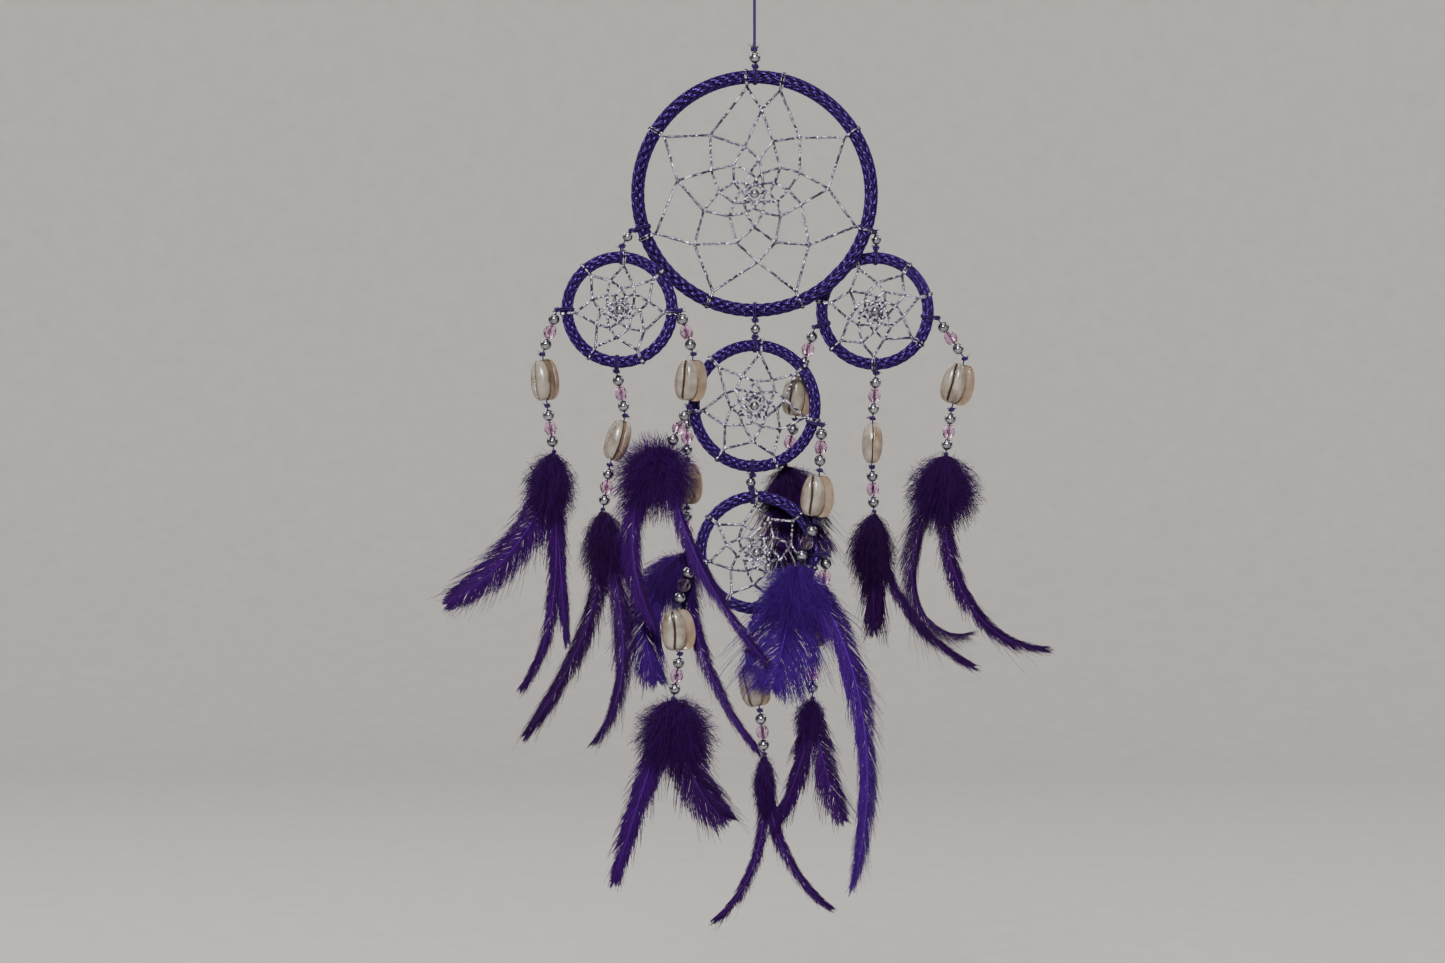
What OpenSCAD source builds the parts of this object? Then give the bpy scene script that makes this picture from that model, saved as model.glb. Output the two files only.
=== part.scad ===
// Dream catcher: a large wrapped hoop that carries four small wrapped hoops,
// eleven beaded threads with cowrie shells, and dyed feathers on each thread.
// The hoops hang in the XZ plane. The origin is the inner top of the hanging loop.

/* [Hoops] */
// Radius of the large hoop, to the middle of its tube
main_ring_r = 52.5; // [51.5:0.5:53]
// Radius of the tube of the large hoop, over its cord wrapping
main_tube_r = 3.1; // [2.8:0.1:3.1]
// Radius of the tube of each small hoop, over its cord wrapping
small_tube_r = 2.7; // [2.4:0.1:2.7]
// Radius of the steel ring inside the large hoop
main_core_r = 1.5; // [1.2:0.1:1.8]
// Radius of the steel ring inside each small hoop
small_core_r = 1.2; // [1:0.1:1.4]

/* [Webs] */
// Radius of the metallic web thread
web_thread_r = 0.45; // [0.4:0.05:0.5]
// Radius of the bead in the middle of each web
web_bead_r = 2.2; // [2:0.1:2.4]

/* [Threads and beads] */
// Radius of the purple hanging cord
cord_r = 0.75; // [0.6:0.05:0.8]
// Inner radius of the hanging loop
loop_r = 7; // [6:0.5:7]
// Radius of the thread that the beads are on
thread_r = 0.4; // [0.35:0.05:0.45]
// Radius of a knot in that thread
knot_r = 1; // [0.8:0.1:1]
// Radius of a silver bead
silver_r = 2.6; // [2.4:0.1:2.6]
// Radius of a pink crystal bead at its middle
crystal_r = 3.1; // [2.8:0.1:3.2]
// Length of a pink crystal bead
crystal_len = 6; // [5.6:0.1:6.2]

/* [Cowrie shells] */
// Length of a shell
shell_len = 18.5; // [17:0.5:18.5]
// Half the width of a shell
shell_r = 5.6; // [5:0.1:5.6]
// Thickness of a shell, cut flat at its back
shell_thick = 4.6; // [4.2:0.1:4.8]
// Sideways step between the two shells of a pair
shell_step = 4; // [3:0.5:4.5]

/* [Feathers] */
// Half the width of a quill where it is tied
quill_half = 0.4; // [0.3:0.05:0.5]
// Half the thickness of a feather's body
feather_half = 0.5; // [0.4:0.1:0.6]

/* [Hidden] */
$fn = 48;
gap = 0.1;
bore_r = thread_r + gap;
bead_pitch = silver_r + crystal_len / 2 + 0.3;
steel = [0.55, 0.56, 0.58];
silver = [0.78, 0.78, 0.8];
purple = [0.22, 0.1, 0.5];
dark_purple = [0.13, 0.04, 0.3];
pink = [0.85, 0.6, 0.75];
ivory = [0.85, 0.8, 0.7];

// Each hoop: name, centre, ring radius, tube radius, core radius, angles at which the web
// is looped round the hoop, and the rows of the web as shares of the inner radius.
small_rows = [0.98, 0.66, 0.43, 0.25];
HOOPS = [
    ["main_hoop", [0, 0, -110.5], main_ring_r, main_tube_r, main_core_r,
        [-18, 32, 76, 94, 148, 202, 247, 293], [0.98, 0.7, 0.47, 0.28, 0.16]],
    ["left_hoop", [-60.5, -5.2, -163], 23.5, small_tube_r, small_core_r,
        [-4, 42, 85, 130, 184, 237, 294], small_rows],
    ["right_hoop", [54.5, 6.3, -163], 24, small_tube_r, small_core_r,
        [-36, 17, 53, 111, 170, 221, 268], small_rows],
    ["centre_hoop", [0, 0, -206], 27.2, small_tube_r, small_core_r,
        [-13, 38, 84, 133, 185, 235, 291], small_rows],
    ["bottom_hoop", [1, 0, -272], 25.2, small_tube_r, small_core_r,
        [-15, 41, 91, 144, 191, 238, 290], small_rows]
];

// Each link between two hoops: name, upper knot, bead, lower knot.
LINKS = [
    ["left_link", [-54.8, -3.7, -127.4], [-57, -4.4, -130.3], [-59.5, -5.2, -134.5]],
    ["right_link", [54, 3.4, -127.4], [55, 4.6, -130.9], [54.8, 6.3, -134.3]],
    ["centre_link", [0.2, 0, -167.6], [0.4, 0, -171.5], [0.2, 0, -174.9]],
    ["bottom_link", [-1, 0, -237.2], [-1.7, 0, -240.4], [-1.5, 0, -243]]
];

// The knots over and under the bead between the hanging cord and the large hoop.
TOP_KNOT = [0, 0, -45.5];
TOP_TIE = [0.3, 0, -53.2];

// The route of each beaded thread: name, depth of its plane, turn of its shells, then its
// four knots in X and Z: at the hoop, above the shells, below the shells, at the feathers.
THREADS = [
    ["left_outer", -5.2, 50, [[-88.5, -163], [-95, -183], [-93, -206], [-90, -226.5]]],
    ["left_lower", -3, 70, [[-62, -190.5], [-58, -210.5], [-65, -232.5], [-68, -252.5]]],
    ["left_inner", -8.6, 25, [[-33.5, -163.5], [-27.5, -183], [-29.5, -206.5], [-38.5, -225.5]]],
    ["right_inner", 8.6, 30, [[27.5, -170], [21, -190.5], [18.5, -212], [14, -232.5]]],
    ["right_lower", 6.3, 90, [[55, -191], [53.5, -211.5], [53, -233.5], [54, -253.5]]],
    ["right_outer", 6.3, 20, [[82.5, -166], [95, -184.5], [89, -207.5], [86.5, -227.5]]],
    ["centre_left", 8.6, 30, [[-30.5, -209.5], [-30.5, -230], [-30.5, -252], [-31, -272]]],
    ["centre_right", -8.6, 15, [[30, -214.5], [29, -235], [27, -258], [19.5, -277]]],
    ["bottom_left", 0, 0, [[-28.5, -277], [-35, -296], [-33.5, -317.5], [-36.5, -337.5]]],
    ["bottom_right", 0, 60, [[32.5, -272.5], [30.5, -293.5], [26.5, -316], [26, -337.5]]],
    ["bottom_lower", 0, 40, [[0, -301.5], [-2.5, -321], [2.5, -343], [4.5, -362.5]]]
];

// The feathers of each thread, in the same order: length, lean at the quill and at the tip
// (degrees from straight down, positive towards +X), bend (under 1 curves most near the quill,
// over 1 near the tip), half width, and depth at the tip.
FEATHERS = [
    [[86, 0, -60, 0.7, 5, -1], [108, 2, -38, 3, 2.5, 0.5], [84, 2, 6, 1, 2, 1.5]],
    [[108, 8, -38, 0.7, 2.5, -4], [106, 11, -42, 3, 4, -5.5]],
    [[84, -60, 28, 0.6, 3, 1], [104, 0, 42, 0.7, 3, -2]],
    [[46, -12, 10, 1, 6, 1], [44, 34, 6, 0.7, 4, 0]],
    [[52, 0, 0, 1, 5, 1], [86, 2, 64, 1, 2.5, 0]],
    [[110, -3, 90, 2, 4, -1], [98, -22, 104, 3, 3, 0.5]],
    [[64, -66, 24, 0.7, 6, 1], [97, 0, 41, 1, 2.5, 0]],
    [[60, -10, -14, 1, 8, 0.5], [150, 44, -14, 0.7, 4, -1]],
    [[60, 10, 52, 2, 5, -0.5], [86, -20, -16, 1, 4, 0.5]],
    [[52, -5, -20, 1, 3, 0.5], [56, 9, 26, 2, 4, -0.5]],
    [[80, 1, -53, 2, 3, -0.5], [77, 3, 54, 1.5, 2.5, 0.5]]
];

hoop_names = [for (h = HOOPS) each [for (p = ["core", "wrap", "web", "web_bead"]) str(h[0], "_", p)]];
link_names = [for (k = LINKS) k[0]];
thread_names = [for (t = THREADS) each [for (p = ["thread", "charms", "feathers"]) str(t[0], "_", p)]];

// The angle of point i in a web's row: each row's points lie midway between those of the row before.
function web_angle(a, row, i) = row == 0
    ? a[i % len(a)] + 360 * floor(i / len(a))
    : (web_angle(a, row - 1, i) + web_angle(a, row - 1, i + 1)) / 2;

// That point's place about the hoop's centre.
function web_point(h, row, i) =
    let (r = (h[2] - h[3] - web_thread_r - gap) * h[6][row], a = web_angle(h[5], row, i))
    [r * cos(a), 0, r * sin(a)];

// A thread's knots as points in space.
function knots(t) = [for (p = t[3]) [p[0], t[1], p[1]]];

// The lean of a feather at a share u of its length, and the middle of its body there.
function lean(f, u) = f[1] + (f[2] - f[1]) * pow(u, f[3]);
function spine(f, i, n) = i == 0
    ? [0, 0, 0]
    : spine(f, i - 1, n) + f[0] / n * [sin(lean(f, (i - 0.5) / n)), 0, -cos(lean(f, (i - 0.5) / n))]
        + [0, f[5] / n, 0];

// Half the width of a feather at a share u of its length.
function half_width(f, u) = quill_half + (f[4] - quill_half) * pow(sin(180 * pow(u, 0.8)), 0.8);

// A round rod between two points.
module rod(p, q, r) {
    d = q - p;
    translate(p)
        rotate([0, acos(d[2] / norm(d)), atan2(d[1], d[0])])
            cylinder(h = norm(d), r = r);
}

// A bead of revolution on the line from p towards q, at a distance along it.
module on_thread(p, q, along) {
    d = (q - p) / norm(q - p);
    translate(p + along * d)
        rotate([0, acos(d[2]), atan2(d[1], d[0])])
            children();
}

// A round bead with a bore.
module silver_bead(r) {
    color(silver)
        difference() {
            sphere(r = r);
            cylinder(h = 3 * r, r = bore_r, center = true);
        }
}

// A pink bead: a fat double cone with flat ends and a bore.
module crystal_bead() {
    half = crystal_len / 2;
    color(pink)
        difference() {
            rotate_extrude()
                polygon([[0, -half], [crystal_r * 0.6, -half], [crystal_r, -half * 0.3],
                    [crystal_r, half * 0.3], [crystal_r * 0.6, half], [0, half]]);
            cylinder(h = 2 * crystal_len, r = bore_r, center = true);
        }
}

// Half of a body of revolution about Z, flat at x = 0, with the slit cut in its round side.
module shell() {
    steps = 10;
    half = shell_len / 2;
    slit_len = shell_len * 0.7;
    slit_width = 1;
    slit_depth = 0.8;
    color(ivory)
        difference() {
            intersection() {
                rotate_extrude()
                    polygon([for (i = [0:steps])
                        let (a = 180 * i / steps)
                        [shell_r * pow(sin(a), 0.8) * (1 + 0.12 * cos(a)), half * cos(a)]]);
                translate([0, -shell_len, -shell_len])
                    cube([shell_thick, 2 * shell_len, 2 * shell_len]);
            }
            translate([shell_thick - slit_depth, -slit_width / 2, -slit_len / 2])
                cube([shell_thick, slit_width, slit_len]);
        }
}

// Two shells back to back on the thread, with a step between them and a bore for the thread.
module shell_pair(turn) {
    color(ivory)
        rotate(turn - 90)
            difference() {
                for (side = [0, 180])
                    rotate(side)
                        translate([gap, shell_step / 2, 0])
                            shell();
                cylinder(h = 2 * shell_len, r = bore_r, center = true);
            }
}

module hoop_core(h) {
    color(steel)
        translate(h[1])
            rotate([90, 0, 0])
                rotate_extrude($fn = 96)
                    translate([h[2], 0])
                        circle(r = h[4]);
}

// The cord wrapping: a tube round the steel ring.
module hoop_wrap(h) {
    color(purple)
        translate(h[1])
            rotate([90, 0, 0])
                rotate_extrude($fn = 96)
                    translate([h[2], 0])
                        difference() {
                            circle(r = h[3]);
                            circle(r = h[4] + gap);
                        }
}

// The net: rows of loops, each hooked on the middle of the loops outside it.
module hoop_web(h) {
    n = len(h[5]);
    color(silver)
        translate(h[1])
            for (row = [0:len(h[6]) - 2], i = [0:n - 1], side = [0, 1])
                hull() {
                    translate(web_point(h, row, i + side)) sphere(r = web_thread_r, $fn = 6);
                    translate(web_point(h, row + 1, i)) sphere(r = web_thread_r, $fn = 6);
                }
}

// The bead sits in the middle of the web, inside its last row.
module hoop_web_bead(h) {
    translate(h[1])
        silver_bead(web_bead_r);
}

// A bead on a short thread between two knots.
module link(k) {
    bead_r = silver_r - 0.3;
    color(purple) {
        for (end = [k[1], k[3]]) {
            translate(end) sphere(r = knot_r);
            rod(end, k[2], thread_r);
        }
    }
    color(silver)
        translate(k[2]) sphere(r = bead_r);
}

module thread(t) {
    p = knots(t);
    color(purple) {
        for (i = [0:2]) rod(p[i], p[i + 1], thread_r);
        for (k = p) translate(k) sphere(r = knot_r);
    }
}

// The beads, crystals and shells of one thread, each a solid of its own.
module charms(t) {
    p = knots(t);
    for (run = [0, 2]) {
        middle = norm(p[run + 1] - p[run]) / 2;
        on_thread(p[run], p[run + 1], middle - bead_pitch) silver_bead(silver_r);
        on_thread(p[run], p[run + 1], middle) crystal_bead();
        on_thread(p[run], p[run + 1], middle + bead_pitch) silver_bead(silver_r);
    }
    on_thread(p[1], p[2], norm(p[2] - p[1]) / 2) shell_pair(t[2]);
}

// A thin slice across a feather at step i of n.
module slice(f, i, n) {
    u = i / n;
    translate(spine(f, i, n))
        rotate([0, -lean(f, u), 0])
            cube([2 * half_width(f, u), 2 * feather_half * (1.1 - u), 0.3], center = true);
}

// The feathers of one thread, bound together at their quills.
module feathers(t, fs) {
    n = 8;
    tie = knots(t)[3] - [0, 0, knot_r + gap + quill_half];
    color(dark_purple)
        translate(tie)
            for (f = fs, i = [0:n - 1])
                hull() {
                    slice(f, i, n);
                    slice(f, i + 1, n);
                }
}

// The cord runs from the knot at the bead up to a knot that closes the loop.
module hanging_cord() {
    loop_centre = [0, 0, -loop_r];
    loop_knot = [0, 0, -2 * loop_r - 2 * cord_r - 0.8];
    color(purple) {
        translate(loop_centre)
            rotate([90, 0, 0])
                rotate_extrude($fn = 96)
                    translate([loop_r + cord_r, 0])
                        circle(r = cord_r);
        translate(loop_knot) sphere(r = 2 * cord_r);
        rod(TOP_KNOT + [0, 0, knot_r + gap], loop_knot, cord_r);
    }
}

module top_bead() {
    d = TOP_TIE - TOP_KNOT;
    on_thread(TOP_KNOT, TOP_TIE, norm(d) / 2) silver_bead(silver_r);
}

module top_tie() {
    color(purple) {
        rod(TOP_KNOT, TOP_TIE, thread_r);
        translate(TOP_KNOT) sphere(r = knot_r);
        translate(TOP_TIE) sphere(r = knot_r);
    }
}

hanging_cord();
top_bead();
top_tie();
for (h = HOOPS) {
    hoop_core(h);
    hoop_wrap(h);
    hoop_web(h);
    hoop_web_bead(h);
}
for (k = LINKS)
    link(k);
for (i = [0:len(THREADS) - 1]) {
    t = THREADS[i];
    thread(t);
    charms(t);
    feathers(t, FEATHERS[i]);
}
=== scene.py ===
import math

import bpy
import numpy as np
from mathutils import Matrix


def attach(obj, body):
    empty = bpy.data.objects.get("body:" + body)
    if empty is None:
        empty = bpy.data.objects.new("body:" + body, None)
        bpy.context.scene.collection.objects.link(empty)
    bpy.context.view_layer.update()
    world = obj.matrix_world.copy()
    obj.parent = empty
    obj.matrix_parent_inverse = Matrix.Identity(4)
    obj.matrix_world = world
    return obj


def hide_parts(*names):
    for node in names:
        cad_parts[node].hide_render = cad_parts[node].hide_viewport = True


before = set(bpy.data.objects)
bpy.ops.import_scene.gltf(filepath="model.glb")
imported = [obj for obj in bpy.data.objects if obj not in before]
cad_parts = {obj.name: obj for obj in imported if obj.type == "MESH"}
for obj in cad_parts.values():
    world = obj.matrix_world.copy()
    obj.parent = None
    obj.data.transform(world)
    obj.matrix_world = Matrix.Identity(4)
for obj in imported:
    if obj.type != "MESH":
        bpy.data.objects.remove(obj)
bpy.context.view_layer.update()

MM = 0.001
TURN = 2 * math.pi
ACROSS = np.array([0, 1, 0])

CORD_R, LOOP_R, THREAD_R, KNOT_R = 0.75, 7, 0.4, 1
SILVER_R, CRYSTAL_R, CRYSTAL_LEN = 2.6, 3.1, 6
BEAD_PITCH = SILVER_R + CRYSTAL_LEN / 2 + 0.3
SHELL_LEN, SHELL_R, SHELL_THICK, SHELL_STEP = 18.5, 5.6, 4.6, 4
WEB_R, WEB_CABLE_R, WEB_BEAD_R, LINK_BEAD_R, GAP = 0.45, 0.74, 2.2, 2.3, 0.1
BORE_R = THREAD_R + GAP
TOP_KNOT, TOP_TIE = (0, 0, -45.5), (0.3, 0, -53.2)

# Radius of each row of a web, as a share of its outermost reach.
MAIN_ROWS = (0.98, 0.7, 0.48, 0.32, 0.21, 0.13, 0.08)
SMALL_ROWS = (0.98, 0.66, 0.45, 0.31, 0.22, 0.16)
# name: centre, ring radius, tube radius, angles at which the web is looped, rows of the web
HOOPS = {
    "main_hoop": ((0, 0, -110.5), 52.5, 3.1, (-18, 32, 76, 94, 148, 202, 247, 293), MAIN_ROWS),
    "left_hoop": ((-60.5, -5.2, -163), 23.5, 2.7, (-4, 42, 85, 130, 184, 237, 294), SMALL_ROWS),
    "right_hoop": ((54.5, 6.3, -163), 24, 2.7, (-36, 17, 53, 111, 170, 221, 268), SMALL_ROWS),
    "centre_hoop": ((0, 0, -206), 27.2, 2.7, (-13, 38, 84, 133, 185, 235, 291), SMALL_ROWS),
    "bottom_hoop": ((1, 0, -272), 25.2, 2.7, (-15, 41, 91, 144, 191, 238, 290), SMALL_ROWS),
}
# name: body it rides on, hoop above, upper knot, bead, lower knot
LINKS = {
    "left_link": ("left_hoop", "main_hoop", (-54.8, -3.7, -127.4), (-57, -4.4, -130.3), (-59.5, -5.2, -134.5)),
    "right_link": ("right_hoop", "main_hoop", (54, 3.4, -127.4), (55, 4.6, -130.9), (54.8, 6.3, -134.3)),
    "centre_link": ("centre_hoop", "main_hoop", (0.2, 0, -167.6), (0.4, 0, -171.5), (0.2, 0, -174.9)),
    "bottom_link": ("bottom_hoop", "centre_hoop", (-1, 0, -237.2), (-1.7, 0, -240.4), (-1.5, 0, -243)),
}
# name: plane in Y, turn of the shells, the four knots in X and Z
THREADS = {
    "left_outer": (-5.2, 50, ((-88.5, -163), (-95, -183), (-93, -206), (-90, -226.5))),
    "left_lower": (-3, 70, ((-62, -190.5), (-58, -210.5), (-65, -232.5), (-68, -252.5))),
    "left_inner": (-8.6, 25, ((-33.5, -163.5), (-27.5, -183), (-29.5, -206.5), (-38.5, -225.5))),
    "right_inner": (8.6, 30, ((27.5, -170), (21, -190.5), (18.5, -212), (14, -232.5))),
    "right_lower": (6.3, 90, ((55, -191), (53.5, -211.5), (53, -233.5), (54, -253.5))),
    "right_outer": (6.3, 20, ((82.5, -166), (95, -184.5), (89, -207.5), (86.5, -227.5))),
    "centre_left": (8.6, 30, ((-30.5, -209.5), (-30.5, -230), (-30.5, -252), (-31, -272))),
    "centre_right": (-8.6, 15, ((30, -214.5), (29, -235), (27, -258), (19.5, -277))),
    "bottom_left": (0, 0, ((-28.5, -277), (-35, -296), (-33.5, -317.5), (-36.5, -337.5))),
    "bottom_right": (0, 60, ((32.5, -272.5), (30.5, -293.5), (26.5, -316), (26, -337.5))),
    "bottom_lower": (0, 40, ((0, -301.5), (-2.5, -321), (2.5, -343), (4.5, -362.5))),
}
# Feathers of each thread: length, lean at the quill, lean at the tip, bend, half width, run along
# Y by the tip, tone from dark violet 0 to bright blue-violet 1, and 1 for a broad tip.
FEATHERS = {
    "left_outer": (
        (86, 0, -60, 0.7, 8, -1, 0.4, 1), (108, 2, -38, 3, 4, 0.5, 0.3, 0), (84, 2, 6, 1, 3.5, 1.5, 0.35, 0)),
    "left_lower": ((108, 8, -38, 0.7, 5.5, -4, 0.15, 0), (106, 11, -42, 3, 6, -5.5, 0.3, 0)),
    "left_inner": ((84, -60, 28, 0.6, 6, 1, 0.4, 0), (104, 0, 42, 0.7, 4.5, -2, 0.45, 0)),
    "right_inner": ((46, -12, 10, 1, 11, 1, 0.2, 1), (44, 34, 6, 0.7, 9, 0, 0.25, 1)),
    "right_lower": ((52, 0, 0, 1, 7, 1, 0.1, 0), (86, 2, 64, 1, 3, 0, 0.2, 0)),
    "right_outer": ((110, -3, 90, 2, 4.5, -1, 0.2, 0), (98, -22, 104, 3, 7, 0.5, 0.15, 0)),
    "centre_left": ((64, -66, 24, 0.7, 9, 1, 0.75, 1), (97, 0, 41, 1, 4, 0, 0.4, 0)),
    "centre_right": ((56, -10, -14, 1, 18, 0.5, 1, 1), (150, 44, -14, 0.7, 7, -1, 0.75, 0)),
    "bottom_left": ((60, 10, 52, 2, 9, -0.5, 0.3, 1), (86, -20, -16, 1, 6, 0.5, 0.45, 0)),
    "bottom_right": ((60, -5, -28, 1, 5, 0.5, 0.25, 0), (56, 9, 26, 2, 6, -0.5, 0.35, 1)),
    "bottom_lower": ((80, 1, -53, 2, 3, -0.5, 0.3, 0), (77, 3, 54, 1.5, 3, 0.5, 0.3, 0)),
}
# Fluff at the quills: its middle from the tie in X and Z, its reach in X, Y and Z, and its tone.
FLUFF = {
    "left_outer": ((-2, -17), (13, 8, 18), 0.25),
    "left_lower": ((1, -19), (12, 8, 18), 0.15),
    "left_inner": ((-6.5, -12), (20, 8, 21), 0.3),
    "right_inner": ((4, -16), (16, 6, 17), 0.15),
    "right_lower": ((-1, -19), (12, 8, 18), 0.1),
    "right_outer": ((-1, -18), (18, 8, 19), 0.25),
    "centre_left": ((-6, -14), (14, 7, 15), 0.6),
    "centre_right": ((-2, -16), (18, 8, 17), 0.95),
    "bottom_left": ((1, -17), (20, 9, 20), 0.3),
    "bottom_right": ((-1, -10), (8, 7, 11), 0.3),
    "bottom_lower": ((0, -15), (6, 6, 15), 0.3),
}


# ---------------------------------------------------------------- camera and light

VIEW_WIDTH, VIEW_DISTANCE, VIEW_X, VIEW_Z, SENSOR = 0.65, 1.4, -14.4 * MM, -240 * MM, 36
camera_data = bpy.data.cameras.new("camera")
camera_data.sensor_width = SENSOR
camera_data.lens = SENSOR * VIEW_DISTANCE / VIEW_WIDTH
camera = bpy.data.objects.new("camera", camera_data)
camera.location = (VIEW_X, -VIEW_DISTANCE, VIEW_Z)
camera.rotation_euler = (math.pi / 2, 0, 0)
bpy.context.scene.collection.objects.link(camera)
bpy.context.scene.camera = camera


def area_light(name, place, aim, size, watts):
    """A round lamp at a place in metres, aimed at another."""
    light = bpy.data.lights.new(name, "AREA")
    light.shape, light.size, light.energy = "DISK", size, watts
    lamp = bpy.data.objects.new(name, light)
    lamp.location = place
    away = np.array(place, float) - aim
    flat = math.hypot(away[0], away[1])
    lamp.rotation_euler = (math.atan2(flat, away[2]), 0, math.atan2(away[0], -away[1]))
    bpy.context.scene.collection.objects.link(lamp)


MIDDLE = (0, 0, -0.22)
area_light("key", (-0.15, -1.5, 0.55), MIDDLE, 0.3, 37)
area_light("fill", (1.3, -1.3, -0.1), MIDDLE, 0.9, 2.5)
area_light("back", (-0.6, 1.3, 0.9), MIDDLE, 0.8, 5)
area_light("overhead", (0, -0.3, 2.2), (0, 0, -0.6), 1.8, 22)
area_light("sweep_left", (-2.2, 0.9, 1.6), (-0.4, 3.6, -0.1), 1.6, 44)
area_light("sweep_right", (2.2, 0.9, 1.6), (0.4, 3.6, -0.1), 1.6, 44)

world = bpy.data.worlds.new("studio")
bpy.context.scene.world = world
world.use_nodes = True
background = world.node_tree.nodes["Background"].inputs
background["Color"].default_value = (0.72, 0.69, 0.66, 1)
background["Strength"].default_value = 0.24


# ---------------------------------------------------------------- mesh building

def unit(v):
    return v / np.maximum(np.linalg.norm(v, axis=-1, keepdims=True), 1e-12)


def grid_faces(rows, cols, loop_rows=False):
    """Quads of a grid of points, row after row. Each row closes on itself, and the last row joins
    the first if loop_rows."""
    i = np.arange(rows if loop_rows else rows - 1)[:, None]
    j = np.arange(cols)[None]
    nxt, right = (i + 1) % rows, (j + 1) % cols
    return np.stack([i * cols + j, i * cols + right, nxt * cols + right, nxt * cols + j], -1).reshape(-1, 4)


def resample(points, step, closed=False):
    """Points spread evenly along a line of straight runs."""
    points = np.array(points, float)
    if closed:
        points = np.vstack([points, points[:1]])
    at = run_so_far(points)
    count = max(4, round(at[-1] / step))
    new = np.linspace(0, at[-1], count, endpoint=not closed)
    return np.column_stack([np.interp(new, at, points[:, k]) for k in range(3)])


def soften(line, reach, closed=False):
    """The line with its corners rounded over reach points to each side."""
    mode = "wrap" if closed else "edge"
    padded = np.pad(line, ((reach, reach), (0, 0)), mode=mode)
    if not closed:  # the ends run straight on, so that they stay where they are
        steps = np.arange(reach, 0, -1)[:, None]
        padded[:reach] = line[0] - steps * (line[1] - line[0])
        padded[-reach:] = line[-1] + steps[::-1] * (line[-1] - line[-2])
    sums = np.cumsum(np.vstack([np.zeros(3), padded]), axis=0)
    width = 2 * reach + 1
    return (sums[width:] - sums[:-width]) / width


def tangents(line, closed=False):
    return unit(np.roll(line, -1, 0) - np.roll(line, 1, 0)) if closed else unit(np.gradient(line, axis=0))


def carried(line):
    """A normal for each point of an open line, carried along it without twist."""
    tangent = tangents(line)
    normals = np.empty_like(line)
    normal = np.cross(tangent[0], (0.3, 0.9, 0.2))
    for i, t in enumerate(tangent):
        normal = unit(normal - normal.dot(t) * t)
        normals[i] = normal
    return normals


def run_so_far(line):
    """The distance along a line at each of its points."""
    return np.r_[0, np.cumsum(np.linalg.norm(np.diff(line, axis=0), axis=1))]


def strands(line, count, offset, pitch, closed=False):
    """Lines twisted round a line that hardly runs along Y: each with the way out from the middle."""
    tangent = tangents(line, closed)
    side = unit(ACROSS - tangent[:, 1:2] * tangent)
    other = np.cross(tangent, side)
    at = run_so_far(line)
    if closed:  # a whole number of turns
        length = at[-1] + np.linalg.norm(line[0] - line[-1])
        pitch = length / max(1, round(length / pitch))
    for k in range(count):
        angle = (TURN * (at / pitch + k / count))[:, None]
        out = np.cos(angle) * side + np.sin(angle) * other
        yield line + offset * out, out


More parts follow.
